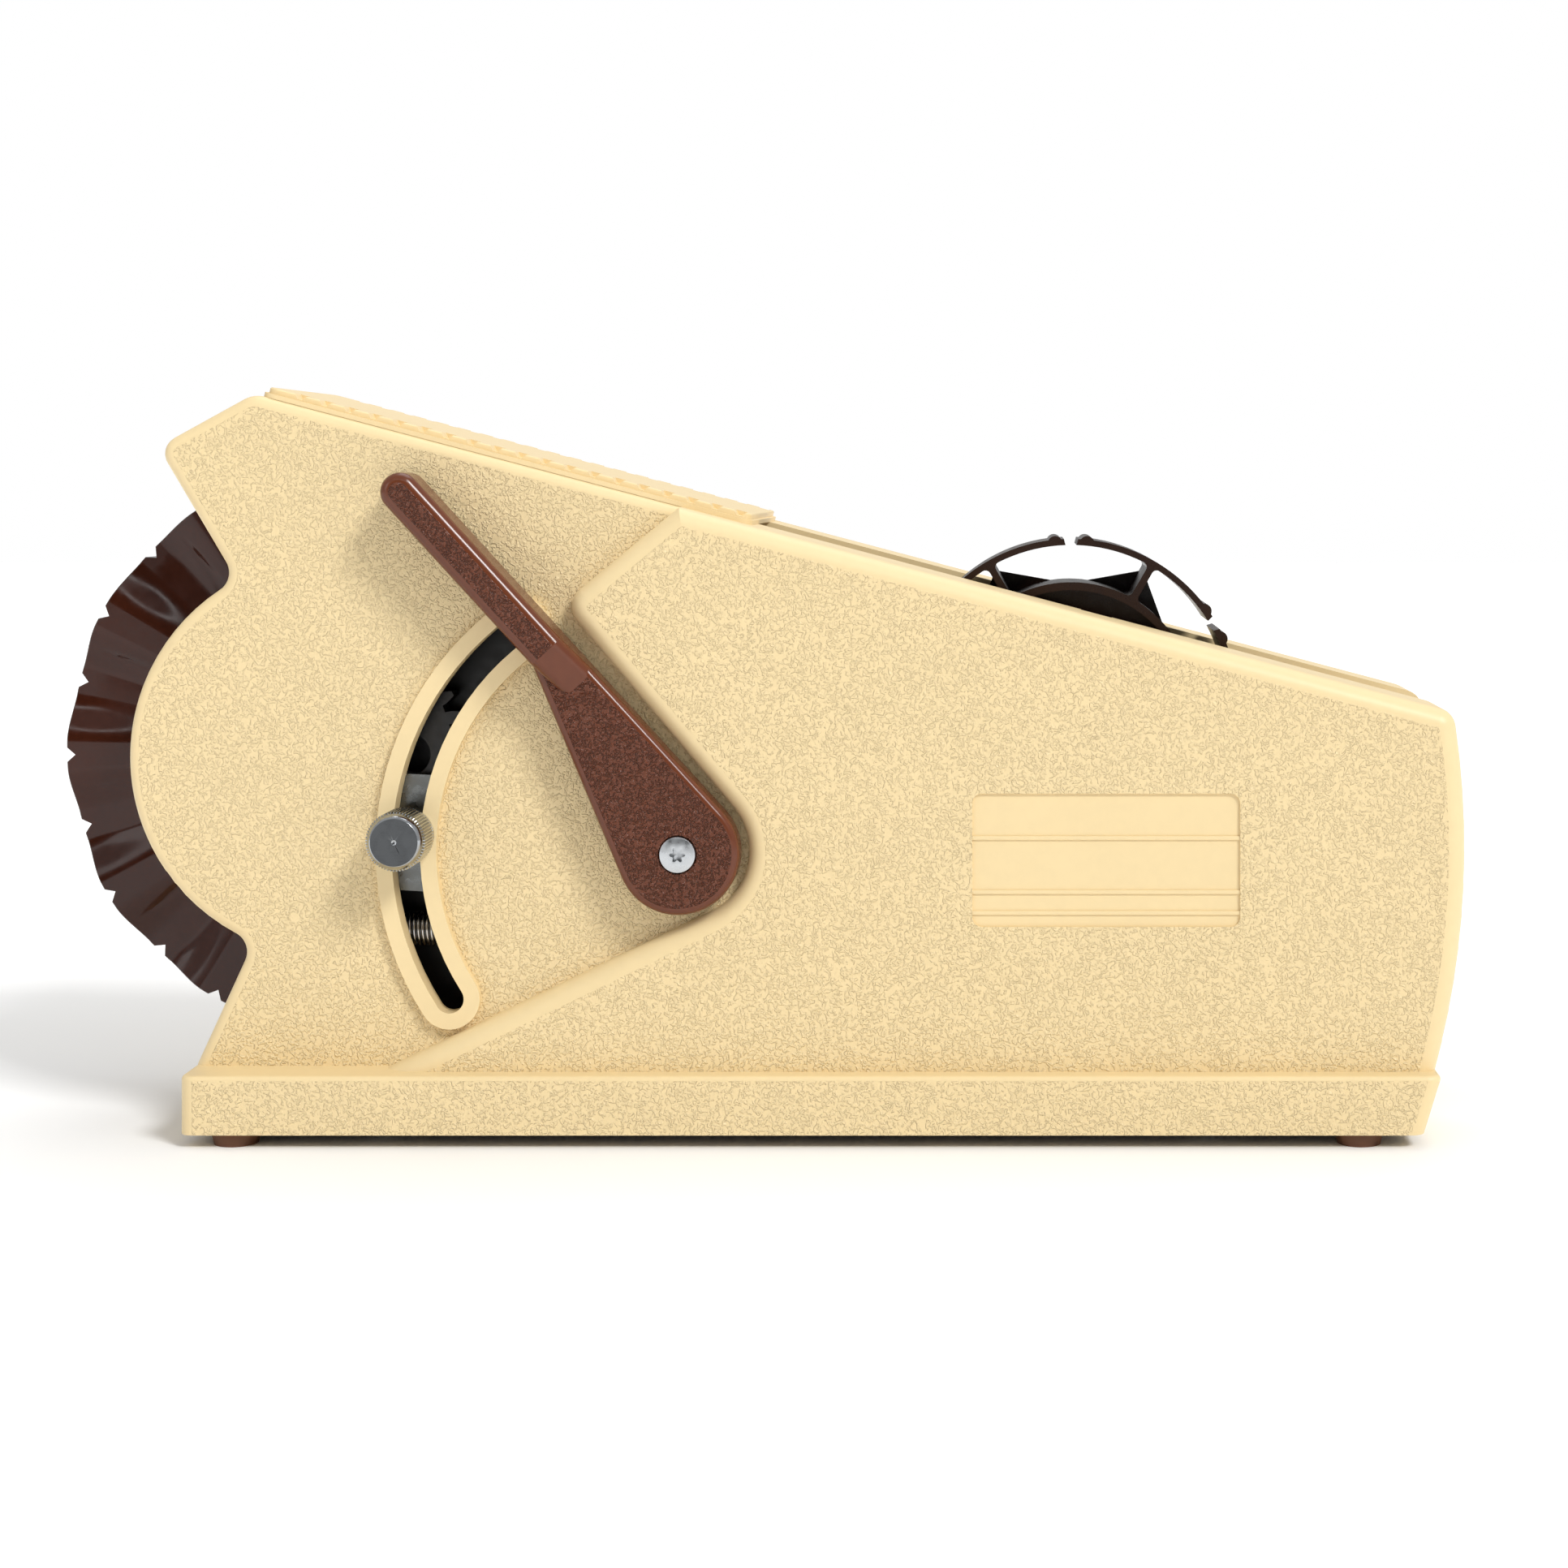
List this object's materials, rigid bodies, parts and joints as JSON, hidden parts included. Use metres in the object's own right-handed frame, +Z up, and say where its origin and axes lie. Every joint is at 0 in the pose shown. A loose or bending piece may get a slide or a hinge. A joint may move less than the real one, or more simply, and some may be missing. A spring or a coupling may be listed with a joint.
{
  "type": "tape dispenser",
  "caption": "Desktop tape dispenser: a side lever drives a notched feed wheel through gears to pay out a set length of tape from a roll on a lift-out hub.",
  "frame": {"origin": "centre of the footprint on the surface that the feet stand on, with Y 0 in the tape's mid plane", "axes": "+X to the rear (tape roll), -X to the feed wheel, -Y to the lever side, +Z up"},
  "size_m": [0.3119, 0.091, 0.1639],
  "materials": {
    "housing_plastic": "beige, fine leather grain with smooth borders",
    "bottom_plastic": "dark brown, satin",
    "foot_rubber": "brown, satin",
    "bumper_rubber": "black, matt",
    "ballast_iron": "rough, painted",
    "zinc_steel": "zinc plated",
    "bright_steel": "ground",
    "blade_steel": "bright, serrated edge",
    "bush_bronze": "sintered, oiled",
    "clutch_steel": "hardened",
    "gear_plastic": "black, satin",
    "wheel_plastic": "dark chocolate brown, glossy",
    "core_plastic": "dark brown, satin",
    "hub_plastic": "dark brown, satin",
    "lever_plastic": "dark reddish brown, fine grain with glossy rounded edges",
    "nut_nickel": "dark polished nickel, knurled rim"
  },
  "bodies": {
    "housing": {"near_shell": "housing_plastic", "far_shell": "housing_plastic", "near_panel": "housing_plastic", "far_panel": "housing_plastic", "base": "housing_plastic", "bottom_plate": "bottom_plastic", "ballast": "ballast_iron", "foot_front_near": "foot_rubber", "foot_front_far": "foot_rubber", "foot_rear_near": "foot_rubber", "foot_rear_far": "foot_rubber", "base_screws": "zinc_steel", "plate_screws": "zinc_steel", "spacers": "zinc_steel", "tie_screws": "zinc_steel", "near_axle_bush": "bush_bronze", "holdback_clutch": "clutch_steel", "idler_pin": "bright_steel", "bumper_pin": "bright_steel", "rest_bumper": "bumper_rubber", "near_shaft_bush": "bush_bronze", "inner_shaft_bush": "bush_bronze", "spring_post": "bright_steel", "return_spring": "bright_steel", "arm_pin": "bright_steel", "guide_rod": "bright_steel", "cutter_blade": "blade_steel", "blade_holder": "bottom_plastic", "blade_screws": "zinc_steel", "holder_screws": "zinc_steel", "gear_plate": "gear_plastic"},
    "wheel": {"feed_wheel": "wheel_plastic", "wheel_core": "core_plastic", "wheel_axle": "bright_steel", "axle_clips": "zinc_steel", "thrust_washer": "zinc_steel"},
    "drive_gear": {"clutch_gear": "gear_plastic", "drive_clutch": "clutch_steel"},
    "idler": {"idler_gear": "gear_plastic"},
    "lever": {"lever": "lever_plastic", "lever_shaft": "bright_steel", "lever_screw": "zinc_steel", "sector_gear": "gear_plastic"},
    "stop": {"stop_plate": "zinc_steel", "stop_stud": "bright_steel", "nut_washer": "zinc_steel"},
    "nut": {"thumb_nut": "nut_nickel"},
    "roller_arm": {"roller_arm": "bright_steel", "roller_pin": "bright_steel"},
    "roller": {"press_roller": "bumper_rubber"},
    "hub_axle": {"hub_axle": "bright_steel"},
    "hub": {"tape_hub": "hub_plastic"},
    "cover": {"top_cover": "housing_plastic"}
  },
  "joints": [
    {"name": "lever_press", "type": "hinge", "parent": "housing", "child": "lever", "pos_m": [-0.0144, -0.03, 0.0629], "axis": [0, -1, 0], "range_deg": [0, 42.5], "stiffness_Nm_per_rad": 0.3, "springref_deg": -28.65, "deforming": ["return_spring"]},
    {"name": "idler_turn", "type": "hinge", "parent": "housing", "child": "idler", "pos_m": [-0.05147, -0.0235, 0.07922], "axis": [0, -1, 0], "range_deg": [-98, 2]},
    {"name": "drive_gear_turn", "type": "hinge", "parent": "housing", "child": "drive_gear", "pos_m": [-0.0918, -0.0235, 0.0829], "axis": [0, -1, 0], "range_deg": [-1, 45]},
    {"name": "wheel_turn", "type": "hinge", "parent": "housing", "child": "wheel", "pos_m": [-0.0918, 0, 0.0829], "axis": [0, -1, 0], "continuous": true},
    {"name": "stop_set", "type": "hinge", "parent": "housing", "child": "stop", "pos_m": [-0.0144, -0.029, 0.0629], "axis": [0, -1, 0], "range_deg": [0, 30]},
    {"name": "nut_turn", "type": "hinge", "parent": "stop", "child": "nut", "pos_m": [-0.07431, -0.041, 0.06614], "axis": [0, -1, 0], "continuous": true},
    {"name": "roller_swing", "type": "hinge", "parent": "housing", "child": "roller_arm", "pos_m": [-0.021, 0, 0.1245], "axis": [0, 1, 0], "range_deg": [0, 10], "stiffness_Nm_per_rad": 0.2, "springref_deg": -17.19},
    {"name": "roller_spin", "type": "hinge", "parent": "roller_arm", "child": "roller", "pos_m": [-0.04251, 0, 0.13218], "axis": [0, 1, 0], "continuous": true},
    {"name": "hub_lift", "type": "slide", "parent": "housing", "child": "hub_axle", "axis": [0.2554, 0, 0.9668], "range_m": [0, 0.08]},
    {"name": "hub_spin", "type": "hinge", "parent": "hub_axle", "child": "hub", "pos_m": [0.0709, 0, 0.0923], "axis": [0, -1, 0], "continuous": true},
    {"name": "cover_lift", "type": "slide", "parent": "housing", "child": "cover", "axis": [0.2554, 0, 0.9668], "range_m": [0, 0.06]}
  ],
  "couplings": [
    {"joint": "idler_turn", "follows": "lever_press", "ratio": -2.1765},
    {"joint": "drive_gear_turn", "follows": "lever_press", "ratio": 1},
    {"joint": "wheel_turn", "follows": "lever_press", "ratio": 1}
  ]
}
